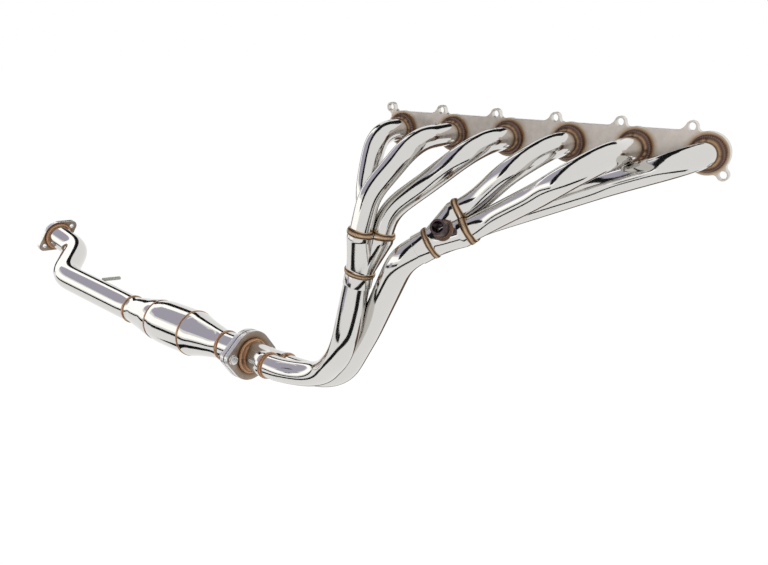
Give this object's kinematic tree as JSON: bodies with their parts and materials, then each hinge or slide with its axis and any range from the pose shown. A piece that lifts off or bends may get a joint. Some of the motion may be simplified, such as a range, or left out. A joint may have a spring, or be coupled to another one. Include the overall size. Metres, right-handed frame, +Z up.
{
  "type": "racing exhaust system",
  "caption": "Tubular exhaust header with staged merge collectors, bolted to a front pipe with a barrel catalytic converter and a two-bolt outlet flange.",
  "frame": {"origin": "centre of the head flange's mating face, midway between the third and fourth ports", "axes": "+Y out of the mating face into the cylinder head, +X along the flange away from the pipe's outlet, +Z up"},
  "size_m": [1.794, 0.3052, 0.5789],
  "materials": {
    "polished_steel": "mirror polished stainless tube",
    "satin_steel": "satin stainless plate",
    "weld_tint": "weld bead with brown and gold heat colours",
    "bung_steel": "heat-darkened steel",
    "zinc_steel": "bright zinc plate",
    "gasket_fibre": "dark fibre sheet",
    "mat_fibre": "matted fibre",
    "ceramic": "unglazed ceramic"
  },
  "bodies": {
    "root": {"primary_tube_1": "polished_steel", "primary_tube_2": "polished_steel", "primary_tube_3": "polished_steel", "primary_tube_4": "polished_steel", "primary_tube_5": "polished_steel", "primary_tube_6": "polished_steel", "rear_collector": "polished_steel", "front_collector": "polished_steel", "rear_slip_sleeve": "polished_steel", "front_slip_sleeve": "polished_steel", "merge_collector": "polished_steel", "rear_secondary_pipe": "polished_steel", "front_secondary_pipe": "polished_steel", "converter_inlet_pipe": "polished_steel", "converter_inlet_cone": "polished_steel", "converter_shell": "polished_steel", "converter_outlet_cone": "polished_steel", "tail_pipe": "polished_steel", "hanger_rod": "polished_steel", "head_flange": "satin_steel", "header_outlet_flange": "satin_steel", "converter_inlet_flange": "satin_steel", "tail_flange": "satin_steel", "port_weld_1": "weld_tint", "port_weld_2": "weld_tint", "port_weld_3": "weld_tint", "port_weld_4": "weld_tint", "port_weld_5": "weld_tint", "port_weld_6": "weld_tint", "rear_collector_inlet_weld": "weld_tint", "front_collector_inlet_weld": "weld_tint", "rear_collector_outlet_weld": "weld_tint", "front_collector_outlet_weld": "weld_tint", "sensor_bung_weld": "weld_tint", "merge_collector_inlet_weld": "weld_tint", "header_flange_weld": "weld_tint", "converter_flange_weld": "weld_tint", "converter_inlet_weld": "weld_tint", "converter_inlet_seam": "weld_tint", "converter_outlet_seam": "weld_tint", "converter_outlet_weld": "weld_tint", "tail_flange_weld": "weld_tint", "oxygen_sensor_bung": "bung_steel", "flange_gasket": "gasket_fibre", "catalyst_support_mat": "mat_fibre", "catalyst_substrate": "ceramic", "flange_bolt_1": "zinc_steel", "flange_nut_1": "zinc_steel", "flange_bolt_2": "zinc_steel", "flange_nut_2": "zinc_steel"}
  },
  "joints": []
}
